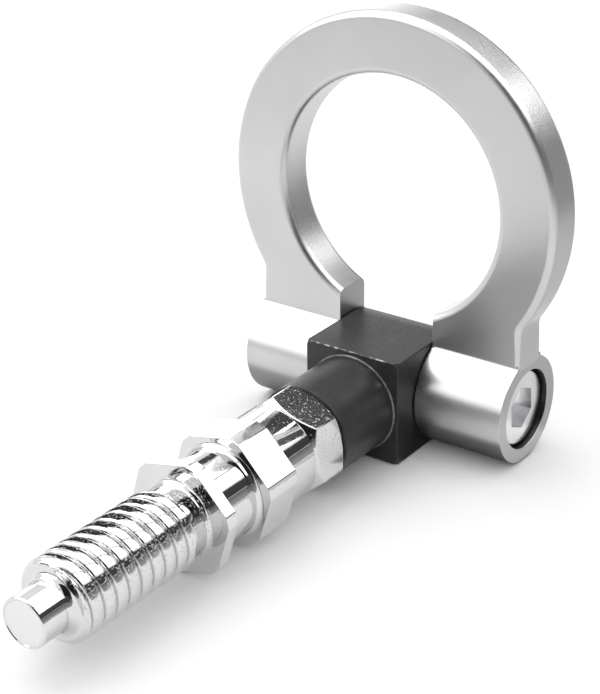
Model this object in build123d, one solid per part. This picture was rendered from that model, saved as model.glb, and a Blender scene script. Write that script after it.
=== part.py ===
from build123d import *
import math
import os

# Folding tow eye. A shaft with a coarse thread screws into the car. A block with a tube is
# held on the shaft's stud by a lock nut, and an open ring turns on two cap screws in the block.
# Frame: +Z up, +X along the hinge, -Y along the thread towards its tip. The origin is on the
# thread's axis, in the plane of the flange face that seats on the car. Sizes are in millimetres.

# Thread, neck and nose
thread_d = 16.2
thread_pitch = 3.15
thread_len = 28.7
groove_depth = 0.8
groove_mouth = 0.9
groove_floor = 0.3
groove_angle = 82.9
run_out = 0.8
neck_relief = 0.2
neck_len = 4.2
seat_fillet = 1.1
shoulder_round = 1.4
shoulder_flat = 0.2
nose_step = 3.3
nose_len = 7.3
nose_chamfer = 0.4

# Six-sided bar of the shaft, its corners turned round
bar_over_tube = 1.0
bar_corner_cut = 0.64
bar_corner_angle = 13.2
flange_len = 2.8
grip_len = 8.6
front_collar_step = 1.7
front_collar_len = 9.6
collar_fillet = 1.1
rear_collar_step = 1.1
rear_collar_len = 8.8
stud_d = 12.0
stud_reach = 14.0
stud_chamfer = 1.0

# Lock nut
nut_across_flats = 19.0
nut_len = 9.0
nut_corner_angle = 39.4
nut_face_cut = 0.1
nut_chamfer_angle = 38.0

# Block and tube
tube_d = 20.2
tube_len = 16.7
tube_root_fillet = 0.7
block_side = 0.85
block_top = 1.1
block_front = 17.0
block_corner_cut = 1.26
stud_hole_spare = 1.5

# Open ring with its lugs and barrels
eye_d = 50.0
ring_d = 74.8
ring_t = 9.0
ring_edge = 1.5
eye_over_block = 3.5
lug_span = 61.6
lug_blend = 4.0
lug_edge_run = 2.6
barrel_fillet = 1.0

# Cap screws that the ring turns on
shank_d = 10.0
screw_reach = 8.5
head_d = 16.0
head_len = 8.0
head_edge = 0.6
head_sink = 1.25
key_across_flats = 8.0
key_depth = 5.0
key_corner_angle = -5.0

# Clearances
stud_gap = 0.05
screw_gap = 0.05
hinge_gap = 0.05
head_gap = 0.3
head_seat_gap = 0.05
side_gap = 0.25

# Sizes that follow from others
neck_d = thread_d - 2 * (groove_depth + neck_relief)
nose_d = thread_d - 2 * nose_step
nose_fillet = nose_step - shoulder_round - shoulder_flat
bar_across_flats = tube_d + bar_over_tube
bar_turned_d = bar_across_flats * 2 / math.sqrt(3) - 2 * bar_corner_cut
front_collar_d = bar_across_flats - 2 * front_collar_step
rear_collar_d = bar_across_flats - 2 * rear_collar_step
nut_face_d = nut_across_flats - 2 * nut_face_cut
block_w = tube_d + 2 * block_side
block_h = tube_d + 2 * block_top
block_turned_d = math.hypot(block_w, block_h) - 2 * block_corner_cut
barrel_d = block_h

# Places along the shaft
thread_end = -neck_len
shoulder_y = thread_end - thread_len
tip_y = shoulder_y - nose_len
grip_y = flange_len + front_collar_len
rear_collar_y = grip_y + grip_len
nut_y = rear_collar_y + rear_collar_len
tube_y = nut_y + nut_len
block_y = tube_y + tube_len
hinge_y = block_y + block_front
stud_end = tube_y + stud_reach

# Places across the hinge
slot_half = block_w / 2 + side_gap
lug_half = lug_span / 2
head_face = lug_half - head_sink
head_under = head_face - head_len

# Heights above the hinge: the ring's centre, and where the rounding of its outline stops
ring_rise = block_h / 2 + eye_over_block + eye_d / 2
lug_edge_z = ring_rise - math.sqrt(ring_d**2 - lug_span**2) / 2 - lug_edge_run


def along_y(shape):
    """Lays a piece that was drawn about Z along Y, its +Z towards +Y."""
    return Rot(-90, 0, 0) * shape


def turned(points):
    """Revolves an outline of (radius, height) points about Z."""
    outline = make_face(Polyline(*[(r, 0, z) for r, z in points], close=True))
    return revolve(outline, Axis.Z)


def round_edge(shape, radius, height):
    """Finds the full circle of this radius at this height about Z."""
    return (
        shape.edges()
        .filter_by(GeomType.CIRCLE)
        .filter_by(lambda e: abs(e.radius - radius) < 1e-4)
        .filter_by(lambda e: abs(e.arc_center.Z - height) < 1e-4)
    )


def hexagon(across_flats, corner_angle):
    """Draws a hexagon with one corner this far from +X towards +Z once it lies along Y."""
    return RegularPolygon(
        across_flats / 2, 6, major_radius=False, rotation=-corner_angle
    )


def grooved_bar():
    """Cuts the thread's groove in a plain bar, from before the shoulder to inside the neck."""
    start = shoulder_y - thread_pitch / 2
    height = thread_end + groove_mouth / 2 - start
    spiral = Helix(thread_pitch, height, thread_d / 2, center=(0, 0, start))
    root = thread_d / 2 - groove_depth
    # The sides slope on above the crest, so the cutter ends clear of the bar
    top = thread_d / 2 + groove_depth
    top_half = groove_mouth - groove_floor / 2
    section = make_face(
        Polyline(
            (root, 0, start - groove_floor / 2),
            (root, 0, start + groove_floor / 2),
            (top, 0, start + top_half),
            (top, 0, start - top_half),
            close=True,
        )
    )
    cutter = Rot(0, 0, groove_angle) * sweep(section, path=spiral, is_frenet=True)
    bar_len = flange_len - tip_y
    return Pos(0, 0, tip_y) * extrude(Circle(thread_d / 2), bar_len) - cutter


def threaded_front():
    """Turns the nose, the shoulder, the thread and half of the neck."""
    front = turned(
        [
            (0, tip_y),
            (nose_d / 2, tip_y),
            (nose_d / 2, shoulder_y),
            (thread_d / 2, shoulder_y),
            (thread_d / 2, thread_end - run_out),
            (neck_d / 2, thread_end),
            (neck_d / 2, thread_end / 2),
            (0, thread_end / 2),
        ]
    )
    front = fillet(round_edge(front, nose_d / 2, shoulder_y), nose_fillet)
    front = fillet(round_edge(front, thread_d / 2, shoulder_y), shoulder_round)
    front = chamfer(round_edge(front, nose_d / 2, tip_y), nose_chamfer)
    return grooved_bar() & front


def threaded_shaft():
    shaft = turned(
        [
            (0, thread_end / 2),
            (neck_d / 2, thread_end / 2),
            (neck_d / 2, 0),
            (front_collar_d / 2, 0),
            (front_collar_d / 2, grip_y),
            (rear_collar_d / 2, grip_y),
            (rear_collar_d / 2, nut_y),
            (stud_d / 2, nut_y),
            (stud_d / 2, stud_end),
            (0, stud_end),
        ]
    )
    bar = hexagon(bar_across_flats, bar_corner_angle) & Circle(bar_turned_d / 2)
    shaft += extrude(bar, flange_len)
    shaft += Pos(0, 0, grip_y) * extrude(bar, grip_len)
    shaft = fillet(round_edge(shaft, neck_d / 2, 0), seat_fillet)
    shaft = fillet(round_edge(shaft, front_collar_d / 2, grip_y), collar_fillet)
    shaft = chamfer(round_edge(shaft, stud_d / 2, stud_end), stud_chamfer)
    return along_y(shaft + threaded_front())


def lock_nut():
    corner_r = nut_across_flats / math.sqrt(3)
    drop = (corner_r - nut_face_d / 2) * math.tan(math.radians(nut_chamfer_angle))
    cones = turned(
        [
            (0, 0),
            (nut_face_d / 2, 0),
            (corner_r, drop),
            (corner_r, nut_len - drop),
            (nut_face_d / 2, nut_len),
            (0, nut_len),
        ]
    )
    nut = extrude(hexagon(nut_across_flats, nut_corner_angle), nut_len) & cones
    nut -= extrude(Circle(stud_d / 2 + stud_gap), nut_len)
    return along_y(Pos(0, 0, nut_y) * nut)


def pivot_block():
    reach = math.hypot(block_w, block_h)
    side = Plane.YZ * (
        Pos(hinge_y - block_front / 2, 0) * Rectangle(block_front, block_h)
        + Pos(hinge_y, 0) * Circle(block_h / 2)
    )
    block = extrude(side, block_w / 2, both=True)
    corner_cone = turned(
        [
            (0, block_y),
            (block_turned_d / 2, block_y),
            (reach, block_y + reach - block_turned_d / 2),
            (reach, hinge_y + block_h),
            (0, hinge_y + block_h),
        ]
    )
    block &= along_y(corner_cone)
    # The block is turned back about Z while the tube is joined and its root is filleted
    body = Rot(90, 0, 0) * block
    body += Pos(0, 0, tube_y) * extrude(Circle(tube_d / 2), tube_len)
    body = fillet(round_edge(body, tube_d / 2, block_y), tube_root_fillet)
    hole_len = stud_reach + stud_hole_spare
    body -= Pos(0, 0, tube_y) * extrude(Circle(stud_d / 2 + stud_gap), hole_len)
    block = along_y(body)
    cross_hole = Plane.YZ * Pos(hinge_y, 0) * Circle(shank_d / 2 + screw_gap)
    return block - extrude(cross_hole, block_w, both=True)


def ring_plate():
    """Cuts the open ring and its lugs from plate, with its outline rounded over."""
    outline = Circle(ring_d / 2)
    outline += Pos(0, -ring_rise / 2) * Rectangle(lug_span, ring_rise)
    inner_corners = outline.vertices().filter_by(lambda v: -ring_rise + 0.01 < v.Y < -0.01)
    outline = fillet(inner_corners, lug_blend)
    outline -= Circle(eye_d / 2)
    outline -= Pos(0, -ring_d / 2) * Rectangle(2 * slot_half, ring_d)
    outline -= Pos(0, -ring_rise - ring_d / 2) * Rectangle(2 * ring_d, ring_d)
    plate = extrude(Plane.XZ * outline, ring_t / 2, both=True)
    rounded = (
        plate.edges()
        .filter_by(lambda e: abs(abs(e.center().Y) - ring_t / 2) < 1e-4)
        .filter_by(lambda e: abs(abs(e.center().X) - slot_half) > 1e-4)
        .filter_by(lambda e: abs(e.center().Z + ring_rise) > 1e-4)
    )
    return Pos(0, hinge_y, ring_rise) * fillet(rounded, ring_edge)


def tow_ring():
    ring = ring_plate()
    lug_w = lug_half - slot_half
    lug_x = (lug_half + slot_half) / 2
    edge_x = lug_half - ring_edge
    joint_z = math.sqrt(barrel_d**2 - ring_t**2) / 2
    for side in (-1, 1):
        # The lug's outer edges are sharp below the place where the rounding stops
        sharp_edge = Box(2 * ring_edge, ring_t, lug_edge_z)
        ring += Pos(side * edge_x, hinge_y, lug_edge_z / 2) * sharp_edge
        barrel = Rot(0, 90, 0) * Cylinder(barrel_d / 2, lug_w)
        ring += Pos(side * lug_x, hinge_y, 0) * barrel
    joints = (
        ring.edges()
        .filter_by(Axis.X)
        .filter_by(lambda e: abs(e.center().Z - joint_z) < 1e-3)
    )
    ring = fillet(joints, barrel_fillet)
    sink = head_sink + head_len + head_seat_gap
    for side in (-1, 1):
        bore = Rot(0, 90, 0) * Cylinder(shank_d / 2 + hinge_gap, lug_w)
        ring -= Pos(side * lug_x, hinge_y, 0) * bore
        counterbore = Rot(0, 90, 0) * Cylinder(head_d / 2 + head_gap, sink)
        ring -= Pos(side * (lug_half - sink / 2), hinge_y, 0) * counterbore
    return ring


def pivot_screw(side):
    shank_end = block_w / 2 - screw_reach
    screw = Pos(0, 0, shank_end) * extrude(Circle(shank_d / 2), head_under - shank_end)
    screw += Pos(0, 0, head_under) * extrude(Circle(head_d / 2), head_len)
    screw = fillet(round_edge(screw, head_d / 2, head_face), head_edge)
    key = RegularPolygon(
        key_across_flats / 2, 6, major_radius=False, rotation=key_corner_angle
    )
    screw -= Pos(0, 0, head_face - key_depth) * extrude(key, key_depth)
    # Laid along X with its drawn X along Y, so the key's angle runs from +Y to +Z
    turn = Rot(0, 90, 0) * Rot(0, 0, 90)
    if side < 0:
        turn = Rot(0, 0, 180) * turn
    return Pos(0, hinge_y, 0) * turn * screw


os.makedirs("parts", exist_ok=True)
export_step(threaded_shaft(), "parts/threaded_shaft.step")
export_step(lock_nut(), "parts/lock_nut.step")
export_step(pivot_block(), "parts/pivot_block.step")
export_step(tow_ring(), "parts/tow_ring.step")
export_step(pivot_screw(1), "parts/pivot_screw_right.step")
export_step(pivot_screw(-1), "parts/pivot_screw_left.step")
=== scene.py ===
import bpy
import bmesh
import math
from mathutils import Matrix, Vector


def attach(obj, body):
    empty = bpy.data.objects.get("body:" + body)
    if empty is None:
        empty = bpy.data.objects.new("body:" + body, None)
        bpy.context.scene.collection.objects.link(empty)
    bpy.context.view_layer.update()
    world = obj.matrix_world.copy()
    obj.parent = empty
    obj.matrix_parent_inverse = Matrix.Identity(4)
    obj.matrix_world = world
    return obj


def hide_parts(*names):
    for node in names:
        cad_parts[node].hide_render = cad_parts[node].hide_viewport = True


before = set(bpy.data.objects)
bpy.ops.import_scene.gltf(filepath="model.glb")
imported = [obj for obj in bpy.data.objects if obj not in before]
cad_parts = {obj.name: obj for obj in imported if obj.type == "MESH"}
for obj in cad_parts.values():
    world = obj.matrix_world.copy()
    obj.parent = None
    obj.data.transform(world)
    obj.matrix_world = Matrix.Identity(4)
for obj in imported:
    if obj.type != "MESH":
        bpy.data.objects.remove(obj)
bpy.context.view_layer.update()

scene = bpy.context.scene
scene.view_settings.view_transform = 'Standard'

# everything is drawn in millimetres and scaled when a piece is finished
toMetres = 0.001
hingeY = 72.5
# places closer than this count as one
near = 0.01
# vertices closer than this are merged
weld = 1e-4
# vertices closer than this to a cut's plane lie on it
onPlane = 1e-5
# edges shorter than this are taken out
sliver = 0.0005
# a shell that would lie flush with the face of another stands this far off it
hairline = 0.004
print("frame loaded")


# small helpers for the meshes

def radiusOf(vert):
    return math.hypot(vert.co.x, vert.co.z)


def runY(edge):
    # how far an edge runs along the shaft
    return abs(edge.verts[0].co.y - edge.verts[1].co.y)


def clamped(value):
    return min(max(value, 0), 1)


def vertsIn(geom):
    return [g for g in geom if isinstance(g, bmesh.types.BMVert)]


def edgesIn(geom):
    return [g for g in geom if isinstance(g, bmesh.types.BMEdge)]


def openEdges(edges):
    return [e for e in edges if len(e.link_faces) == 1]


def drawChain(bm, points):
    # joins (radius, y) points in the plane that is then turned about the shaft's axis
    verts = [bm.verts.new((r, y, 0)) for r, y in points]
    for pair in zip(verts, verts[1:]):
        bm.edges.new(pair)


def spunSolid(points, segments):
    bm = bmesh.new()
    drawChain(bm, points)
    bmesh.ops.spin(bm, geom=bm.verts[:] + bm.edges[:], cent=(0, 0, 0), axis=(0, -1, 0),
                   angle=math.tau, steps=segments, use_merge=True)
    bmesh.ops.remove_doubles(bm, verts=bm.verts, dist=weld)
    bmesh.ops.recalc_face_normals(bm, faces=bm.faces)
    return bm


def drawOut(bm, move):
    # fills a closed outline and draws it out to a solid
    face = bmesh.ops.edgenet_fill(bm, edges=bm.edges)['faces']
    grown = bmesh.ops.extrude_face_region(bm, geom=face)['geom']
    bmesh.ops.translate(bm, vec=move, verts=vertsIn(grown))


def stepLoop(bm, edges, radius, y):
    # draws a turned loop on to its next radius and place
    made = bmesh.ops.extrude_edge_only(bm, edges=edges)['geom']
    for vert in vertsIn(made):
        scale = radius / radiusOf(vert)
        vert.co = (vert.co.x * scale, y, vert.co.z * scale)
    return openEdges(edgesIn(made))


def ringEdges(bm, radius, y):
    # the edges of one turned circle
    found = []
    for edge in bm.edges:
        if all(abs(radiusOf(v) - radius) < near and abs(v.co.y - y) < near for v in edge.verts):
            found.append(edge)
    return found


def sharpEdges(bm, degrees):
    limit = math.radians(degrees)
    return [e for e in bm.edges if len(e.link_faces) == 2 and e.calc_face_angle(0) > limit]


def roundEdges(bm, edges, size, segments, clamp=True):
    # a chain of very short edges would hold a clamped rounding to nothing
    return bmesh.ops.bevel(bm, geom=edges, offset=size, offset_type='OFFSET', affect='EDGES',
                           segments=segments, profile=0.5, material=-1, clamp_overlap=clamp)


def cutAway(bm, point, normal):
    # takes off what lies outside a plane and gives the edges of the cut
    cut = bmesh.ops.bisect_plane(bm, geom=bm.verts[:] + bm.edges[:] + bm.faces[:], dist=onPlane,
                                 plane_co=point, plane_no=normal, clear_outer=True)
    return edgesIn(cut['geom_cut'])


def sliceOff(bm, point, normal):
    # the same, with the cut closed by one flat face
    edges = cutAway(bm, point, normal)
    if edges:
        bmesh.ops.edgenet_fill(bm, edges=edges)


def cutHexagon(bm, acrossFlats, cornerAngle):
    for flat in range(6):
        angle = math.radians(cornerAngle + 30 + 60 * flat)
        normal = Vector((math.cos(angle), 0, math.sin(angle)))
        sliceOff(bm, normal * acrossFlats / 2, normal)


def layAcross(bm, side):
    # lays what was drawn along Y along the hinge instead, to the right for 1 and the left for -1
    turn = Matrix.Rotation(-side * math.pi / 2, 3, 'Z')
    bmesh.ops.rotate(bm, cent=(0, 0, 0), matrix=turn, verts=bm.verts)
    bmesh.ops.translate(bm, vec=(0, hingeY, 0), verts=bm.verts)


def faceOut(bm):
    # one closed shell, cleaned and turned so that its faces point away from its inside
    bmesh.ops.dissolve_degenerate(bm, dist=sliver, edges=bm.edges)
    bmesh.ops.recalc_face_normals(bm, faces=bm.faces)
    if bm.calc_volume(signed=True) < 0:
        bmesh.ops.reverse_faces(bm, faces=bm.faces)
    return bm


def addShell(bm, other):
    # copies another bmesh in as one more closed shell
    faceOut(other)
    mesh = bpy.data.meshes.new("shell")
    other.to_mesh(mesh)
    other.free()
    bm.from_mesh(mesh)
    bpy.data.meshes.remove(mesh)


def finishPiece(name, bm, materials, body, node, smoothAngle):
    bmesh.ops.scale(bm, vec=(toMetres, toMetres, toMetres), verts=bm.verts)
    mesh = bpy.data.meshes.new(name)
    bm.to_mesh(mesh)
    bm.free()
    for material in materials:
        mesh.materials.append(material)
    mesh.shade_smooth()
    mesh.set_sharp_from_angle(angle=math.radians(smoothAngle))
    piece = bpy.data.objects.new(name, mesh)
    scene.collection.objects.link(piece)
    keepFlats = piece.modifiers.new("keepFlats", 'WEIGHTED_NORMAL')
    keepFlats.mode = 'FACE_AREA'
    keepFlats.keep_sharp = True
    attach(piece, body)
    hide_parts(node)
    print(name, len(mesh.polygons), "faces")


# small helpers for the materials

def newMaterial(name):
    material = bpy.data.materials.new(name)
    material.use_nodes = True
    nodes = material.node_tree.nodes
    shader = nodes["Principled BSDF"]
    place = nodes.new("ShaderNodeTexCoord")
    return material, nodes, material.node_tree.links, shader, place.outputs["Object"]


def noise(nodes, links, place, scale, detail, roughness=0.5):
    node = nodes.new("ShaderNodeTexNoise")
    node.inputs["Scale"].default_value = scale
    node.inputs["Detail"].default_value = detail
    node.inputs["Roughness"].default_value = roughness
    links.new(place, node.inputs["Vector"])
    return node.outputs["Fac"]


def spread(nodes, links, value, low, high, toLow, toHigh):
    node = nodes.new("ShaderNodeMapRange")
    node.inputs["From Min"].default_value = low
    node.inputs["From Max"].default_value = high
    node.inputs["To Min"].default_value = toLow
    node.inputs["To Max"].default_value = toHigh
    links.new(value, node.inputs["Value"])
    return node.outputs["Result"]


def tint(nodes, links, value, stops):
    node = nodes.new("ShaderNodeValToRGB")
    ramp = node.color_ramp
    while len(ramp.elements) < len(stops):
        ramp.elements.new(0.5)
    for element, (position, colour) in zip(ramp.elements, stops):
        element.position = position
        element.color = colour + (1,)
    links.new(value, node.inputs["Fac"])
    return node.outputs["Color"]


def bump(nodes, links, shader, value, finish):
    node = nodes.new("ShaderNodeBump")
    node.inputs["Strength"].default_value = finish["bumpStrength"]
    node.inputs["Distance"].default_value = finish["bumpDepth"]
    links.new(value, node.inputs["Height"])
    links.new(node.outputs["Normal"], shader.inputs["Normal"])


# most values of a noise lie in this span
noiseSpan = (0.3, 0.7)


def roughen(nodes, links, shader, value, finish):
    rough = spread(nodes, links, value, *noiseSpan, finish["roughLow"], finish["roughHigh"])
    links.new(rough, shader.inputs["Roughness"])


# a metal's clouds, as shares of its tone, a little cooler than grey
cloudColours = ((0.96, 0.965, 0.975), (1.04, 1.043, 1.05))


def cloudedMetal(nodes, links, shader, cloud, tone):
    shader.inputs["Metallic"].default_value = 1.0
    colours = [tuple(tone * share for share in shares) for shares in cloudColours]
    links.new(tint(nodes, links, cloud, list(zip(noiseSpan, colours))), shader.inputs["Base Color"])


# finishes

chromeFinish = dict(tone=0.7, cloudScale=90, cloudDetail=4, grainScale=1500, grainDetail=3,
                    roughLow=0.03, roughHigh=0.07, pitEdge=(0.58, 0.72), bumpStrength=0.12,
                    bumpDepth=0.00004)


def brightChrome(name, finish):
    material, nodes, links, shader, place = newMaterial(name)
    cloud = noise(nodes, links, place, finish["cloudScale"], finish["cloudDetail"])
    grain = noise(nodes, links, place, finish["grainScale"], finish["grainDetail"])
    cloudedMetal(nodes, links, shader, cloud, finish["tone"])
    roughen(nodes, links, shader, cloud, finish)
    pits = spread(nodes, links, grain, *finish["pitEdge"], 0.0, 1.0)
    bump(nodes, links, shader, pits, finish)
    return material


aluminiumFinish = dict(tone=0.6, cloudScale=60, cloudDetail=5, grainScale=2600, grainDetail=2,
                       roughLow=0.285, roughHigh=0.34, bumpStrength=0.06, bumpDepth=0.00005)


def satinAluminium(name, finish):
    material, nodes, links, shader, place = newMaterial(name)
    cloud = noise(nodes, links, place, finish["cloudScale"], finish["cloudDetail"])
    grain = noise(nodes, links, place, finish["grainScale"], finish["grainDetail"])
    cloudedMetal(nodes, links, shader, cloud, finish["tone"])
    roughen(nodes, links, shader, grain, finish)
    bump(nodes, links, shader, grain, finish)
    return material


# the lightest specks of the black's clouds are small scuffs
blackFinish = dict(cloudScale=160, cloudDetail=8, cloudRoughness=0.72, grainScale=1900, grainDetail=3,
                   deep=(0.35, (0.014, 0.014, 0.015)), pale=(0.64, (0.03, 0.03, 0.031)),
                   scuff=(0.76, (0.16, 0.16, 0.165)), roughLow=0.36, roughHigh=0.5,
                   bumpStrength=0.2, bumpDepth=0.00004)


def satinBlack(name, finish):
    material, nodes, links, shader, place = newMaterial(name)
    cloud = noise(nodes, links, place, finish["cloudScale"], finish["cloudDetail"], finish["cloudRoughness"])
    grain = noise(nodes, links, place, finish["grainScale"], finish["grainDetail"])
    stops = [finish["deep"], finish["pale"], finish["scuff"]]
    links.new(tint(nodes, links, cloud, stops), shader.inputs["Base Color"])
    roughen(nodes, links, shader, grain, finish)
    bump(nodes, links, shader, grain, finish)
    return material


wornFinish = dict(patchScale=800, patchDetail=5, patchRoughness=0.65, begins=0.47, full=0.62,
                  black=(0.03, 0.03, 0.031), bare=(0.42, 0.42, 0.4242), metallic=0.6,
                  roughLow=0.3, roughHigh=0.45)


def wornEdge(name, finish):
    # bare metal showing through in patches along the black block's edges
    material, nodes, links, shader, place = newMaterial(name)
    wear = noise(nodes, links, place, finish["patchScale"], finish["patchDetail"], finish["patchRoughness"])
    begins, full = finish["begins"], finish["full"]
    stops = [(begins, finish["black"]), (full, finish["bare"])]
    links.new(tint(nodes, links, wear, stops), shader.inputs["Base Color"])
    metal = spread(nodes, links, wear, begins, full, 0.0, finish["metallic"])
    links.new(metal, shader.inputs["Metallic"])
    roughen(nodes, links, shader, wear, finish)
    return material


shaftChrome = brightChrome("shaftChrome", chromeFinish)
threadChrome = brightChrome("threadChrome", dict(chromeFinish, grainScale=2300, pitEdge=(0.6, 0.66),
                                                 bumpStrength=0.9))
nutChrome = brightChrome("nutChrome", dict(chromeFinish, grainScale=1900, roughLow=0.06, roughHigh=0.12,
                                           pitEdge=(0.62, 0.72), bumpStrength=0.4))
screwSteel = brightChrome("screwSteel", dict(chromeFinish, tone=0.85, roughLow=0.16, roughHigh=0.26))
tipSteel = brightChrome("tipSteel", dict(chromeFinish, tone=0.8, roughLow=0.4, roughHigh=0.55,
                                         bumpStrength=0.3))
ringAluminium = satinAluminium("ringAluminium", aluminiumFinish)
# the barrels' turned ends take a darker tone: partly their finish, partly painted shade
ringTurnedAndShaded = satinAluminium("ringTurnedAndShaded", dict(aluminiumFinish, tone=0.5, roughLow=0.3, roughHigh=0.4))
# darker slot faces: painted shade between the lugs and the block
ringSlotShade = satinAluminium("ringSlotShade", dict(aluminiumFinish, tone=0.34, roughLow=0.3, roughHigh=0.4))
ringRim = satinAluminium("ringRim", dict(aluminiumFinish, roughLow=0.3, roughHigh=0.4, bumpStrength=0.9))
# near-black counterbores: painted shade in the recesses
ringSinkShade = satinAluminium("ringSinkShade", dict(aluminiumFinish, tone=0.05, roughLow=0.4, roughHigh=0.5))
blockBlack = satinBlack("blockBlack", blackFinish)
blockWorn = wornEdge("blockWorn", wornFinish)
# the tube's root fillet: bare-metal wear, made lighter as a painted highlight along it
blockRootWearAndGleam = wornEdge("blockRootWearAndGleam", dict(wornFinish, begins=0.25, full=0.7, bare=(0.3, 0.3, 0.303)))
print("materials made")


# threaded shaft: thread, nose and neck in one skin, then the two hexagons, the collars and the stud

shaftLook = dict(plain=0, tip=1, thread=2)
thread = dict(pitch=3.15, crestRadius=8.1, depth=0.8, mouthHalf=0.36, floorHalf=0.15, grooveY=-22.6,
              leadTurns=8, turns=14, steps=96, weld=1e-3, lip=0.26, lipSegments=6, lipRun=0.5,
              crestCuts=7, bow=0.16)
front = dict(shoulderY=-32.9, shoulderRound=1.4, shoulderFlat=6.7, noseRadius=4.8, noseFillet=1.7,
             noseSegments=10, tipY=-40.2, tipRound=0.4, tipSegments=6, tipRim=0.12, tipDish=0.12,
             middleY=-20, threadEnd=-4.2, runOut=0.8, trimFront=0.02, trimRear=1.5, neckRadius=7.1,
             seatFillet=1.1, seatSegments=8, seatReach=1.4, seatDepth=1.2)


def frontLimit(y):
    # the turned outline that the thread may not stand out of
    centreY = front["shoulderY"] + front["shoulderRound"]
    centreRadius = thread["crestRadius"] - front["shoulderRound"]
    if y < centreY:
        rise = max(front["shoulderRound"] ** 2 - (y - centreY) ** 2, 0)
        return centreRadius + math.sqrt(rise)
    fall = clamped((y - front["threadEnd"] + front["runOut"]) / front["runOut"])
    return thread["crestRadius"] + (front["neckRadius"] - thread["crestRadius"]) * fall


def woundThread():
    # one turn of groove and crest, wound along the shaft with rounded lips
    bm = bmesh.new()
    pitch, crest = thread["pitch"], thread["crestRadius"]
    root = crest - thread["depth"]
    startY = thread["grooveY"] + thread["leadTurns"] * pitch
    chain = [(root, 0), (root, thread["floorHalf"]), (crest, thread["mouthHalf"]),
             (crest, pitch - thread["mouthHalf"]), (root, pitch - thread["floorHalf"]), (root, pitch)]
    drawChain(bm, [(r, startY + y) for r, y in chain])
    bmesh.ops.spin(bm, geom=bm.verts[:] + bm.edges[:], cent=(0, 0, 0), axis=(0, -1, 0),
                   dvec=(0, -pitch / thread["steps"], 0), angle=math.tau * thread["turns"],
                   steps=thread["turns"] * thread["steps"])
    bmesh.ops.remove_doubles(bm, verts=bm.verts, dist=thread["weld"])
    onCrest = [e for e in bm.edges if min(radiusOf(v) for v in e.verts) > crest - near]
    lips = [e for e in onCrest if runY(e) < thread["lipRun"]]
    across = [e for e in onCrest if runY(e) > thread["lipRun"]]
    bmesh.ops.subdivide_edges(bm, edges=across, cuts=thread["crestCuts"], use_grid_fill=True)
    roundEdges(bm, lips, thread["lip"], thread["lipSegments"])
    return bm


def bowCrests(bm):
    # bows each crest a little and keeps it inside the turned outline
    pitch = thread["pitch"]
    root = thread["crestRadius"] - thread["depth"]
    half = pitch / 2 - thread["mouthHalf"]
    for vert in bm.verts:
        angle = math.atan2(vert.co.z, vert.co.x)
        phase = (vert.co.y - thread["grooveY"]) / pitch + angle / math.tau
        offset = (phase % 1 - 0.5) * pitch
        radius = radiusOf(vert)
        share = clamped((radius - root) / thread["depth"])
        wanted = radius - thread["bow"] * min((offset / half) ** 2, 1) * share
        wanted = min(wanted, frontLimit(vert.co.y))
        vert.co.x *= wanted / radius
        vert.co.z *= wanted / radius


def drawNose(bm, rim):
    # from the shoulder down to the nose and its slightly dished tip
    nose, tipY, shoulderY = front["noseRadius"], front["tipY"], front["shoulderY"]
    shoulder = stepLoop(bm, rim, front["shoulderFlat"], shoulderY)
    corner = stepLoop(bm, shoulder, nose, shoulderY)
    tipEdge = stepLoop(bm, corner, nose, tipY)
    inner = nose - front["tipRound"] - front["tipRim"]
    loop = stepLoop(bm, tipEdge, inner, tipY)
    loop = stepLoop(bm, loop, inner - front["tipDish"], tipY + front["tipDish"])
    disc = bmesh.ops.edgenet_fill(bm, edges=loop)['faces']
    roundEdges(bm, tipEdge, front["tipRound"], front["tipSegments"])
    roundEdges(bm, corner, front["noseFillet"], front["noseSegments"])
    for face in bm.faces:
        if face.calc_center_median().y < shoulderY:
            face.material_index = shaftLook["plain"]
    for face in disc:
        face.material_index = shaftLook["tip"]


def drawSeat(bm, rim):
    # from the neck out to the flange, ending inside it
    reach = front["neckRadius"] + front["seatReach"]
    seat = stepLoop(bm, rim, front["neckRadius"], -hairline)
    loop = stepLoop(bm, seat, reach, -hairline)
    loop = stepLoop(bm, loop, reach, front["seatDepth"])
    bmesh.ops.edgenet_fill(bm, edges=loop)
    roundEdges(bm, seat, front["seatFillet"], front["seatSegments"])


def threadedFront():
    bm = woundThread()
    bowCrests(bm)
    cutAway(bm, (0, front["shoulderY"] + front["trimFront"], 0), (0, -1, 0))
    cutAway(bm, (0, front["threadEnd"] + front["trimRear"], 0), (0, 1, 0))
    for face in bm.faces:
        face.material_index = shaftLook["thread"]
    rim = openEdges(bm.edges)
    noseRim = [e for e in rim if e.verts[0].co.y < front["middleY"]]
    neckRim = [e for e in rim if e.verts[0].co.y > front["middleY"]]
    drawNose(bm, noseRim)
    drawSeat(bm, neckRim)
    return bm


bar = dict(acrossFlats=21.2, turnedRadius=11.6, cornerAngle=13.2, flangeY=(0, 2.8), gripY=(12.4, 21.0),
           edge=0.14, edgeSegments=2, sharpAngle=12, segments=288)


def hexBar(startY, endY):
    bm = bmesh.new()
    along = Matrix.Translation((0, (startY + endY) / 2, 0)) @ Matrix.Rotation(math.pi / 2, 4, 'X')
    bmesh.ops.create_cone(bm, cap_ends=True, segments=bar["segments"], radius1=bar["turnedRadius"],
                          radius2=bar["turnedRadius"], depth=endY - startY, matrix=along)
    cutHexagon(bm, bar["acrossFlats"], bar["cornerAngle"])
    roundEdges(bm, sharpEdges(bm, bar["sharpAngle"]), bar["edge"], bar["edgeSegments"], clamp=False)
    return bm


# both collars and the stud reach into their neighbours
collars = dict(frontRadius=8.9, frontY=(1.4, 14), flare=1.4, fillet=1.1, filletSegments=8,
               rearRadius=9.5, rearY=(20, 29.8), rearEdge=0.3, rearSegments=3, segments=144,
               studRadius=6.0, studY=(28, 52.8), studChamfer=1, studSegments=96)


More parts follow.
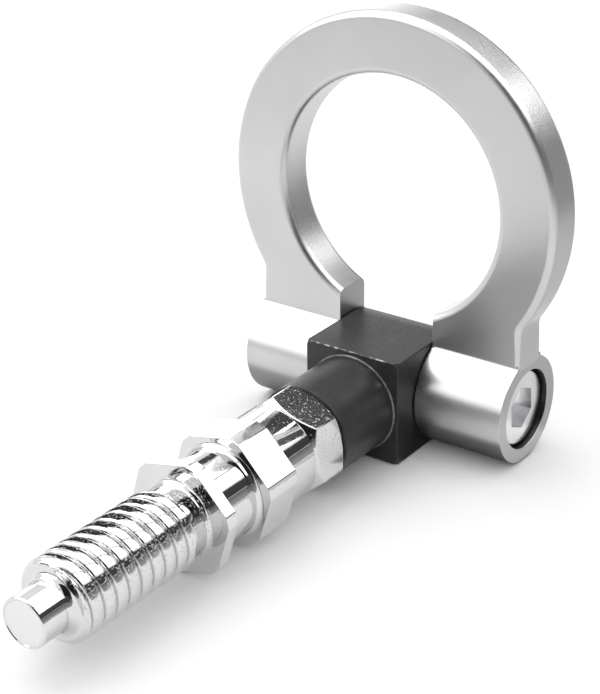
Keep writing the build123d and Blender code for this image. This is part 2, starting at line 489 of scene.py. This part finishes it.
def frontCollar():
    radius = collars["frontRadius"]
    flare = radius + collars["flare"]
    startY, endY = collars["frontY"]
    gripY = bar["gripY"][0] - hairline
    bm = spunSolid([(0, startY), (radius, startY), (radius, gripY), (flare, gripY), (flare, endY),
                    (0, endY)], collars["segments"])
    roundEdges(bm, ringEdges(bm, radius, gripY), collars["fillet"], collars["filletSegments"])
    return bm


def rearCollar():
    radius = collars["rearRadius"]
    startY, endY = collars["rearY"]
    bm = spunSolid([(0, startY), (radius, startY), (radius, endY), (0, endY)], collars["segments"])
    roundEdges(bm, ringEdges(bm, radius, endY), collars["rearEdge"], collars["rearSegments"])
    return bm


def stud():
    radius, chamfer = collars["studRadius"], collars["studChamfer"]
    startY, endY = collars["studY"]
    return spunSolid([(0, startY), (radius, startY), (radius, endY - chamfer), (radius - chamfer, endY),
                      (0, endY)], collars["studSegments"])


def threadedShaft():
    bm = faceOut(threadedFront())
    for shell in (hexBar(*bar["flangeY"]), hexBar(*bar["gripY"]), frontCollar(), rearCollar(), stud()):
        addShell(bm, shell)
    return bm


finishPiece("threadedShaft", threadedShaft(), [shaftChrome, tipSteel, threadChrome],
            "shaft", "threaded_shaft", smoothAngle=32)


# lock nut

nut = dict(acrossFlats=19.0, cornerAngle=39.4, startY=29.8, endY=38.8, faceRadius=9.1, cornerRadius=10.97,
           drop=1.461, boreRadius=6.05, edge=0.2, edgeSegments=3, sharpAngle=20, rimMargin=0.1,
           segments=120)


def lockNut():
    bore, face, corner = nut["boreRadius"], nut["faceRadius"], nut["cornerRadius"]
    startY, endY = nut["startY"], nut["endY"]
    bm = spunSolid([(bore, startY), (face, startY), (corner, startY + nut["drop"]),
                    (corner, endY - nut["drop"]), (face, endY), (bore, endY), (bore, startY)],
                   nut["segments"])
    cutHexagon(bm, nut["acrossFlats"], nut["cornerAngle"])
    # the flats' edges are rounded, the rims of the two ends stay as turned
    limit = face + nut["rimMargin"]
    edges = [e for e in sharpEdges(bm, nut["sharpAngle"]) if max(radiusOf(v) for v in e.verts) > limit]
    roundEdges(bm, edges, nut["edge"], nut["edgeSegments"], clamp=False)
    return faceOut(bm)


finishPiece("lockNut", lockNut(), [nutChrome],
            "shaft", "lock_nut", smoothAngle=25)


# pivot block and its tube

blockLook = dict(black=0, worn=1, root=2)
block = dict(halfWidth=10.95, halfHeight=11.2, frontY=55.5, rearSteps=64, edge=0.24, edgeSegments=3,
             sharpAngle=60, corners=(45.65, 134.35, 225.65, 314.35), cornerRadius=14.8, cornerFan=4.4,
             cornerCuts=6)


def blockBody():
    # its side, round at the rear, drawn out across the hinge
    bm = bmesh.new()
    x, height, frontY, edge = -block["halfWidth"], block["halfHeight"], block["frontY"], block["edge"]
    top = bm.verts.new((x, hingeY, height))
    low = bmesh.ops.spin(bm, geom=[top], cent=(0, hingeY, 0), axis=(-1, 0, 0), angle=math.pi,
                         steps=block["rearSteps"])['geom_last'][0]
    frontLow = bm.verts.new((x, frontY, -height))
    frontTop = bm.verts.new((x, frontY, height))
    for pair in ((frontLow, low), (frontTop, frontLow), (frontTop, top)):
        bm.edges.new(pair)
    drawOut(bm, (2 * block["halfWidth"], 0, 0))
    bmesh.ops.recalc_face_normals(bm, faces=bm.faces)
    made = roundEdges(bm, sharpEdges(bm, block["sharpAngle"]), edge, block["edgeSegments"])
    # worn along the top front edge only
    for face in made['faces']:
        middle = face.calc_center_median()
        if middle.y < frontY + edge and middle.z > height - edge:
            face.material_index = blockLook["worn"]
    # the four front corners are turned to a cone, cut here as a fan of small flats
    fan, cuts, radius = block["cornerFan"], block["cornerCuts"], block["cornerRadius"]
    for corner in block["corners"]:
        for cut in range(cuts):
            angle = math.radians(corner - fan + 2 * fan * cut / (cuts - 1))
            normal = Vector((math.cos(angle), -1, math.sin(angle))).normalized()
            point = Vector((math.cos(angle) * radius, frontY, math.sin(angle) * radius))
            sliceOff(bm, point, normal)
    return faceOut(bm)


tube = dict(radius=10.1, frontY=38.8, length=17.5, holeRadius=6.05, holeDepth=15.5, rootFlare=0.8,
            rootFillet=0.3, rootSegments=6, edge=0.25, edgeSegments=2, segments=144)


def blockTube():
    radius, hole, frontY = tube["radius"], tube["holeRadius"], tube["frontY"]
    flare = radius + tube["rootFlare"]
    holeY, endY, rootY = frontY + tube["holeDepth"], frontY + tube["length"], block["frontY"] - hairline
    bm = spunSolid([(0, holeY), (hole, holeY), (hole, frontY), (radius, frontY), (radius, rootY),
                    (flare, rootY), (flare, endY), (0, endY)], tube["segments"])
    made = roundEdges(bm, ringEdges(bm, radius, rootY), tube["rootFillet"], tube["rootSegments"])
    # the root fillet's lighter worn metal is partly wear, partly a painted highlight
    for face in made['faces']:
        face.material_index = blockLook["root"]
    roundEdges(bm, ringEdges(bm, radius, frontY), tube["edge"], tube["edgeSegments"])
    return bm


def pivotBlock():
    bm = blockBody()
    addShell(bm, blockTube())
    return bm


finishPiece("pivotBlock", pivotBlock(), [blockBlack, blockWorn, blockRootWearAndGleam],
            "shaft", "pivot_block", smoothAngle=30)


# tow ring: a plate with its outline rounded over, two lugs, and a barrel at the foot of each

ringLook = dict(plain=0, turned=1, sink=2, slot=3, rim=4)
ring = dict(eyeRadius=25.0, outerRadius=37.4, halfThick=4.5, rise=39.7, slotHalf=11.2, lugHalf=30.8,
            blend=4.0, blendSteps=16, plateFoot=9.7, lugSteps=20, arcSteps=128, edge=1.5, edgeSegments=8,
            sharpAngle=60, fadeFrom=20.0, fadeTo=12.0, fadeLeft=0.6, rimMargin=0.05, slotFacing=0.99,
            rimFacing=0.1)


def ringOutline():
    # half of the outline, drawn in the plate's front plane and closed along the middle
    bm = bmesh.new()
    rise, slot, lug, foot = ring["rise"], ring["slotHalf"], ring["lugHalf"], ring["plateFoot"]
    frontY = hingeY - ring["halfThick"]
    centre = (0, frontY, rise)
    eyeSweep = math.pi / 2 + math.acos(slot / ring["eyeRadius"])
    blendX = lug + ring["blend"]
    reach = ring["outerRadius"] + ring["blend"]
    blendZ = rise - math.sqrt(reach ** 2 - blendX ** 2)
    blendAngle = math.acos(blendX / reach)
    eyeTop = bm.verts.new((0, frontY, rise + ring["eyeRadius"]))
    end = bmesh.ops.spin(bm, geom=[eyeTop], cent=centre, axis=(0, 1, 0), angle=eyeSweep,
                         steps=ring["arcSteps"])['geom_last'][0]
    step = (blendZ - foot) / ring["lugSteps"]
    stops = [(slot, foot), (lug, foot)]
    stops += [(lug, foot + step * (i + 1)) for i in range(ring["lugSteps"])]
    for x, z in stops:
        nextVert = bm.verts.new((x, frontY, z))
        bm.edges.new((end, nextVert))
        end = nextVert
    end = bmesh.ops.spin(bm, geom=[end], cent=(blendX, frontY, blendZ), axis=(0, 1, 0), angle=blendAngle,
                         steps=ring["blendSteps"])['geom_last'][0]
    outer = bmesh.ops.spin(bm, geom=[end], cent=centre, axis=(0, -1, 0), angle=math.pi / 2 + blendAngle,
                           steps=ring["arcSteps"])['geom_last'][0]
    bm.edges.new((outer, eyeTop))
    return bm


def roundOutline(bm):
    # all round both faces, apart from the slot's edges and the foot
    slot = ring["slotHalf"]
    outline = []
    for edge in sharpEdges(bm, ring["sharpAngle"]):
        onSlot = all(abs(abs(v.co.x) - slot) < weld for v in edge.verts)
        onFoot = max(v.co.z for v in edge.verts) < ring["plateFoot"] + near
        if runY(edge) < weld and not onSlot and not onFoot:
            outline.append(edge)
    roundEdges(bm, outline, ring["edge"], ring["edgeSegments"])


def fadeRounding(bm):
    # down the lugs the rounding shrinks to a fine edge
    lug, left = ring["lugHalf"], ring["fadeLeft"]
    for vert in bm.verts:
        if vert.co.z > ring["fadeFrom"] or abs(vert.co.x) < lug - ring["edge"] - near:
            continue
        fade = clamped((vert.co.z - ring["fadeTo"]) / (ring["fadeFrom"] - ring["fadeTo"]))
        keep = left + (1 - left) * fade * fade * (3 - 2 * fade)
        edgeX = math.copysign(lug, vert.co.x)
        edgeY = hingeY + math.copysign(ring["halfThick"], vert.co.y - hingeY)
        vert.co.x = edgeX + (vert.co.x - edgeX) * keep
        vert.co.y = edgeY + (vert.co.y - edgeY) * keep
    bm.normal_update()


def ringPlate():
    bm = ringOutline()
    drawOut(bm, (0, 2 * ring["halfThick"], 0))
    bmesh.ops.mirror(bm, geom=bm.verts[:] + bm.edges[:] + bm.faces[:], axis='X', merge_dist=weld)
    bmesh.ops.remove_doubles(bm, verts=bm.verts, dist=weld)
    inside = [f for f in bm.faces if all(abs(v.co.x) < weld for v in f.verts)]
    bmesh.ops.delete(bm, geom=inside, context='FACES')
    bmesh.ops.recalc_face_normals(bm, faces=bm.faces)
    roundOutline(bm)
    fadeRounding(bm)
    for face in bm.faces:
        middle = face.calc_center_median()
        reach = math.hypot(middle.x, middle.z - ring["rise"])
        onOuter = reach > ring["outerRadius"] - ring["rimMargin"]
        onBore = reach < ring["eyeRadius"] + ring["rimMargin"]
        # the slot's faces are darkened: painted shade between the lugs and the block
        if abs(face.normal.x) > ring["slotFacing"] and abs(middle.x) < ring["slotHalf"] + near:
            face.material_index = ringLook["slot"]
        elif abs(face.normal.y) < ring["rimFacing"] and (onOuter or onBore):
            face.material_index = ringLook["rim"]
    return bm


barrel = dict(radius=11.2, boreRadius=5.05, sinkRadius=8.3, sinkDepth=9.3, edge=0.15, edgeSegments=2,
              endFacing=0.9, segments=144)


def lugBarrel():
    # the right-hand barrel with the screw's counterbore, drawn along Y and laid across
    radius, bore, sink = barrel["radius"], barrel["boreRadius"], barrel["sinkRadius"]
    inner, outer = ring["slotHalf"] + near, ring["lugHalf"] - near
    floor = outer - barrel["sinkDepth"]
    bm = spunSolid([(bore, inner), (radius, inner), (radius, outer), (sink, outer), (sink, floor),
                    (bore, floor), (bore, inner)], barrel["segments"])
    rims = ringEdges(bm, radius, inner) + ringEdges(bm, radius, outer) + ringEdges(bm, sink, outer)
    roundEdges(bm, rims, barrel["edge"], barrel["edgeSegments"])
    for face in bm.faces:
        middle = face.calc_center_median()
        reach = math.hypot(middle.x, middle.z)
        # the barrel's end faces get a darker tone, partly painted shade
        if abs(face.normal.y) > barrel["endFacing"] and reach > sink:
            face.material_index = ringLook["turned"]
        # the counterbore is near-black: painted shade in its recess
        elif reach < sink:
            face.material_index = ringLook["sink"]
    layAcross(bm, 1)
    return bm


fillet = dict(radius=1.0, steps=8, inset=0.02, cover=0.2, drop=0.3)


def footFillet():
    # the small hollow where the right lug's front face runs into its barrel
    bm = bmesh.new()
    centreY = ring["halfThick"] + fillet["radius"]
    reach = barrel["radius"] + fillet["radius"]
    centreZ = math.sqrt(reach ** 2 - centreY ** 2)
    sweep = math.asin(centreZ / reach)
    x, frontY = ring["slotHalf"] + fillet["inset"], hingeY - ring["halfThick"]
    start = bm.verts.new((x, frontY, centreZ))
    end = bmesh.ops.spin(bm, geom=[start], cent=(x, hingeY - centreY, centreZ), axis=(-1, 0, 0),
                         angle=sweep, steps=fillet["steps"])['geom_last'][0]
    inside = bm.verts.new((x, frontY + fillet["cover"], centreZ))
    foot = bm.verts.new((x, frontY + fillet["cover"], end.co.z - fillet["drop"]))
    for pair in ((end, foot), (foot, inside), (inside, start)):
        bm.edges.new(pair)
    drawOut(bm, (ring["lugHalf"] - ring["slotHalf"] - 2 * fillet["inset"], 0, 0))
    bmesh.ops.recalc_face_normals(bm, faces=bm.faces)
    return bm


def towRing():
    bm = bmesh.new()
    aboutHinge = Matrix.Translation((0, -hingeY, 0))
    for side in (1, -1):
        back = footFillet()
        bmesh.ops.scale(back, vec=(1, -1, 1), verts=back.verts, space=aboutHinge)
        for shell in (lugBarrel(), footFillet(), back):
            bmesh.ops.scale(shell, vec=(side, 1, 1), verts=shell.verts)
            addShell(bm, shell)
    addShell(bm, ringPlate())
    return bm


finishPiece("towRing", towRing(), [ringAluminium, ringTurnedAndShaded, ringSinkShade, ringSlotShade, ringRim],
            "ring", "tow_ring", smoothAngle=35)


# cap screws that the ring turns on

screw = dict(headRadius=8.0, headUnder=21.55, headFace=29.55, headEdge=0.6, headEdgeSegments=5,
             headSegments=96, shankRadius=5.0, shankEnd=2.45, keyFlats=8.0, keyDepth=5.0, keyCorner=-5.0,
             keyCuts=15, keyEdge=0.15, keyEdgeSegments=2, sharpAngle=60, onFace=1e-3)


def capScrew(side):
    # drawn along Y with its head towards +Y, then laid across
    bm = bmesh.new()
    faceY = screw["headFace"]
    upright = Matrix.Rotation(-math.pi / 2, 4, 'X')
    keyTurn = Matrix.Rotation(math.radians(-screw["keyCorner"]), 4, 'Y') @ upright
    bmesh.ops.create_circle(bm, segments=6, radius=screw["keyFlats"] / math.sqrt(3), matrix=keyTurn)
    bmesh.ops.subdivide_edges(bm, edges=bm.edges[:], cuts=screw["keyCuts"])
    bmesh.ops.translate(bm, vec=(0, faceY, 0), verts=bm.verts)
    keyEdges = bm.edges[:]
    bmesh.ops.create_circle(bm, segments=screw["headSegments"], radius=screw["headRadius"],
                            matrix=Matrix.Translation((0, faceY, 0)) @ upright)
    rimEdges = [e for e in bm.edges if e not in keyEdges]
    bmesh.ops.bridge_loops(bm, edges=keyEdges + rimEdges)
    floor = bmesh.ops.extrude_edge_only(bm, edges=keyEdges)['geom']
    bmesh.ops.translate(bm, vec=(0, -screw["keyDepth"], 0), verts=vertsIn(floor))
    bmesh.ops.edgenet_fill(bm, edges=openEdges(edgesIn(floor)))
    loop = stepLoop(bm, rimEdges, screw["headRadius"], screw["headUnder"])
    loop = stepLoop(bm, loop, screw["shankRadius"], screw["headUnder"])
    loop = stepLoop(bm, loop, screw["shankRadius"], screw["shankEnd"])
    bmesh.ops.edgenet_fill(bm, edges=loop)
    bmesh.ops.recalc_face_normals(bm, faces=bm.faces)
    roundEdges(bm, rimEdges, screw["headEdge"], screw["headEdgeSegments"])
    keyRim = [e for e in sharpEdges(bm, screw["sharpAngle"])
              if all(abs(v.co.y - faceY) < screw["onFace"] for v in e.verts)]
    roundEdges(bm, keyRim, screw["keyEdge"], screw["keyEdgeSegments"])
    layAcross(bm, side)
    return faceOut(bm)


finishPiece("capScrewRight", capScrew(1), [screwSteel],
            "shaft", "pivot_screw_right", smoothAngle=35)
finishPiece("capScrewLeft", capScrew(-1), [screwSteel],
            "shaft", "pivot_screw_left", smoothAngle=35)


# floor and white surround

def grey(level):
    return (level, level, level, 1)


def seenDirectly(nodes, links):
    # 1 for what the camera, the metal and glass see, 0 for what lights the object
    path = nodes.new("ShaderNodeLightPath")
    total = path.outputs["Is Camera Ray"]
    for kind in ("Is Glossy Ray", "Is Transmission Ray"):
        add = nodes.new("ShaderNodeMath")
        add.operation = 'ADD'
        add.use_clamp = True
        links.new(total, add.inputs[0])
        links.new(path.outputs[kind], add.inputs[1])
        total = add.outputs[0]
    return total


def mixBySight(nodes, links, lit, shown, output):
    mix = nodes.new("ShaderNodeMixShader")
    links.new(seenDirectly(nodes, links), mix.inputs["Fac"])
    links.new(lit.outputs[0], mix.inputs[1])
    links.new(shown.outputs[0], mix.inputs[2])
    links.new(mix.outputs[0], output.inputs["Surface"])


floorLook = dict(level=-0.0114, size=6.0, cells=4, lit=0.9, shown=1.12)


def makeFloor():
    bm = bmesh.new()
    bmesh.ops.create_grid(bm, x_segments=floorLook["cells"], y_segments=floorLook["cells"],
                          size=floorLook["size"])
    bmesh.ops.translate(bm, vec=(0, 0, floorLook["level"]), verts=bm.verts)
    mesh = bpy.data.meshes.new("floor")
    bm.to_mesh(mesh)
    bm.free()
    material = bpy.data.materials.new("floorWhite")
    material.use_nodes = True
    nodes = material.node_tree.nodes
    nodes.remove(nodes["Principled BSDF"])
    lit = nodes.new("ShaderNodeBsdfDiffuse")
    lit.inputs["Color"].default_value = grey(floorLook["lit"])
    shown = nodes.new("ShaderNodeBsdfDiffuse")
    shown.inputs["Color"].default_value = grey(floorLook["shown"])
    mixBySight(nodes, material.node_tree.links, lit, shown, nodes["Material Output"])
    mesh.materials.append(material)
    floor = bpy.data.objects.new("floor", mesh)
    scene.collection.objects.link(floor)


# a white room, dimmer as a light than it looks
roomLook = dict(lit=0.86, shown=1.0)


def makeWorld():
    world = bpy.data.worlds.new("whiteRoom")
    scene.world = world
    world.use_nodes = True
    nodes = world.node_tree.nodes
    lit = nodes["Background"]
    lit.inputs["Color"].default_value = grey(roomLook["lit"])
    shown = nodes.new("ShaderNodeBackground")
    shown.inputs["Color"].default_value = grey(roomLook["shown"])
    mixBySight(nodes, world.node_tree.links, lit, shown, nodes["World Output"])


# cards that only the metal sees: tones at foot and top, centre and two half sides in metres

cards = dict(
    right=((0.07, 0.07), (0.5, 0.3, 0.262), (0, 1.2, 0), (0, 0, 0.11)),
    wall=((0.45, 0.16), (0.5, 0.3, 0.066), (0, 1.2, 0), (0, 0, 0.078)),
    overhead=((0.09, 0.09), (-0.1325, 0.224, 0.2), (0.1675, 0, 0), (0, 0.012, 0)),
    overheadFar=((0.09, 0.09), (-0.1025, 0.258, 0.2), (0.1975, 0, 0), (0, 0.022, 0)),
    behind=((0.06, 0.06), (-0.025, 0.39, 0.2), (0.12, 0, 0), (0, 0.11, 0)),
    seam=((0.05, 0.05), (0.069, 0.1, 0.2), (0.005, 0, 0), (0, 0.4, 0)),
    rear=((0.05, 0.05), (-0.145, 0.75, 0.285), (0.205, 0, 0), (0, 0, 0.215)),
    table=((0.75, 0.75), (0.19, 0.1625, -0.011), (0.16, 0, 0), (0, 0.0775, 0)),
    tableFar=((0.3, 0.3), (0.26, 0.44, -0.011), (0.23, 0, 0), (0, 0.2, 0)),
    tableFront=((0.45, 0.45), (-0.4, -0.47, -0.011), (0.4, 0, 0), (0, 0.23, 0)),
    # a darker patch under the left barrel: painted shadow that only the metal sees
    tableLeftShadow=((0.47, 0.47), (-0.034, 0.0663, -0.011), (0.018, 0, 0), (0, 0.0122, 0)),
    tableRight=((0.27, 0.27), (0.0145, 0.0692, -0.011), (0.0165, 0, 0), (0, 0.0112, 0)),
    front=((0.12, 0.3), (-0.5, -0.7, 0.045), (0.5, 0, 0), (0, 0, 0.056)),
    camera=((0.02, 0.02), (0.5, -0.75, 0.62), (0.62, 0.42, 0), (0, 0, 0.57)),
)


def setCard(name, bm, material):
    mesh = bpy.data.meshes.new(name)
    bm.to_mesh(mesh)
    bm.free()
    mesh.materials.append(material)
    card = bpy.data.objects.new(name, mesh)
    scene.collection.objects.link(card)
    card.visible_camera = False
    card.visible_diffuse = False
    card.visible_transmission = False
    card.visible_shadow = False


def makeCard(name, tones, centre, across, along):
    material, nodes, links, shader, place = newMaterial(name)
    foot, top = tones
    height = nodes.new("ShaderNodeSeparateXYZ")
    links.new(place, height.inputs[0])
    # a level card has no height, so the span is kept a little open
    lowZ, highZ = centre[2] - along[2], centre[2] + along[2] + weld
    rise = spread(nodes, links, height.outputs["Z"], lowZ, highZ, 0, 1)
    links.new(tint(nodes, links, rise, [(0, (foot,) * 3), (1, (top,) * 3)]), shader.inputs["Base Color"])
    shader.inputs["Roughness"].default_value = 1.0
    shader.inputs["Specular IOR Level"].default_value = 0.0
    bm = bmesh.new()
    bmesh.ops.create_grid(bm, x_segments=1, y_segments=1, size=1)
    facing = Vector(across).cross(Vector(along)).normalized()
    lay = Matrix((across, along, facing)).transposed().to_4x4()
    bmesh.ops.transform(bm, matrix=Matrix.Translation(centre) @ lay, verts=bm.verts)
    setCard(name, bm, material)


# one more card beside the flange for the thread alone: its corners as (x, z) in millimetres
flag = dict(y=-0.3, tone=0.02,
            corners=((-2.5, 14.5), (-22, 44), (-31.5, 37.5), (-38.5, 30), (-43.5, 21.5), (-46.5, 12),
                     (-47, 2), (-45, -7), (-12, 4), (-11, 8), (-9, 11), (-6, 13)))


def makeFlag(name):
    # black towards the thread, clear from behind
    material, nodes, links, shader, _ = newMaterial(name)
    shader.inputs["Base Color"].default_value = grey(flag["tone"])
    shader.inputs["Roughness"].default_value = 1.0
    clear = nodes.new("ShaderNodeBsdfTransparent")
    side = nodes.new("ShaderNodeNewGeometry")
    mix = nodes.new("ShaderNodeMixShader")
    links.new(side.outputs["Backfacing"], mix.inputs["Fac"])
    links.new(shader.outputs[0], mix.inputs[1])
    links.new(clear.outputs[0], mix.inputs[2])
    links.new(mix.outputs[0], nodes["Material Output"].inputs["Surface"])
    bm = bmesh.new()
    verts = [bm.verts.new(Vector((x, flag["y"], z)) * toMetres) for x, z in flag["corners"]]
    face = bmesh.ops.contextual_create(bm, geom=verts)['faces'][0]
    face.normal_update()
    if face.normal.y > 0:
        face.normal_flip()
    setCard(name, bm, material)


# lamps: place, target, sides in metres, brightness, and whether only the metal sees it

lamps = dict(
    softboxTop=((-0.27, 0.09, 0.7), (0, 0.02, 0), (0.6, 0.55), 1.0, False),
    glossTop=((-0.36, -0.14, 0.48), (0, 0.07, 0), (0.5, 0.62), 2.2, True),
    glossOverhead=((0.0825, 0.185, 0.21), (0.0825, 0.185, 0), (0.325, 0.43), 1.7, True),
    glossLeft=((-0.45, 0.5, 0.12), (0, 0.016, 0.01), (0.5, 0.2), 1.08, True),
    glossFront=((-0.55, -0.62, 0.31), (0, 0.07, 0.01), (0.6, 0.42), 1.3, True),
)


def softbox(name, place, target, size, radiance, onlyGloss):
    data = bpy.data.lights.new(name, 'AREA')
    data.shape = 'RECTANGLE'
    data.size, data.size_y = size
    data.energy = radiance * math.pi * size[0] * size[1]
    lamp = bpy.data.objects.new(name, data)
    aim = (Vector(target) - Vector(place)).to_track_quat('-Z', 'Y')
    lamp.matrix_world = Matrix.Translation(place) @ aim.to_matrix().to_4x4()
    lamp.visible_camera = False
    lamp.visible_diffuse = not onlyGloss
    scene.collection.objects.link(lamp)


makeFloor()
makeWorld()
for name, settings in cards.items():
    makeCard(name + "Card", *settings)
makeFlag("flagCard")
for name, settings in lamps.items():
    softbox(name, *settings)
print("studio made")


# camera at the photograph's viewing angle

view = dict(azimuth=35.80, elevation=25.25, roll=-0.88, place=(0.18192, -0.21417, 0.16583),
            focalPixels=1809.8, pixelsHigh=694, sensor=36, clipStart=0.01)


def makeCamera():
    a, e, r = (math.radians(view[k]) for k in ("azimuth", "elevation", "roll"))
    back = Vector((math.sin(a) * math.cos(e), -math.cos(a) * math.cos(e), math.sin(e)))
    right = Vector((math.cos(a), math.sin(a), 0))
    up = back.cross(right)
    rolledRight = right * math.cos(r) + up * math.sin(r)
    rolledUp = up * math.cos(r) - right * math.sin(r)
    turn = Matrix((rolledRight, rolledUp, back)).transposed().to_4x4()
    data = bpy.data.cameras.new("camera")
    data.sensor_fit = 'VERTICAL'
    data.sensor_height = view["sensor"]
    data.lens = view["focalPixels"] * view["sensor"] / view["pixelsHigh"]
    data.clip_start = view["clipStart"]
    camera = bpy.data.objects.new("camera", data)
    camera.matrix_world = Matrix.Translation(view["place"]) @ turn
    scene.collection.objects.link(camera)
    scene.camera = camera


makeCamera()
print("camera set")
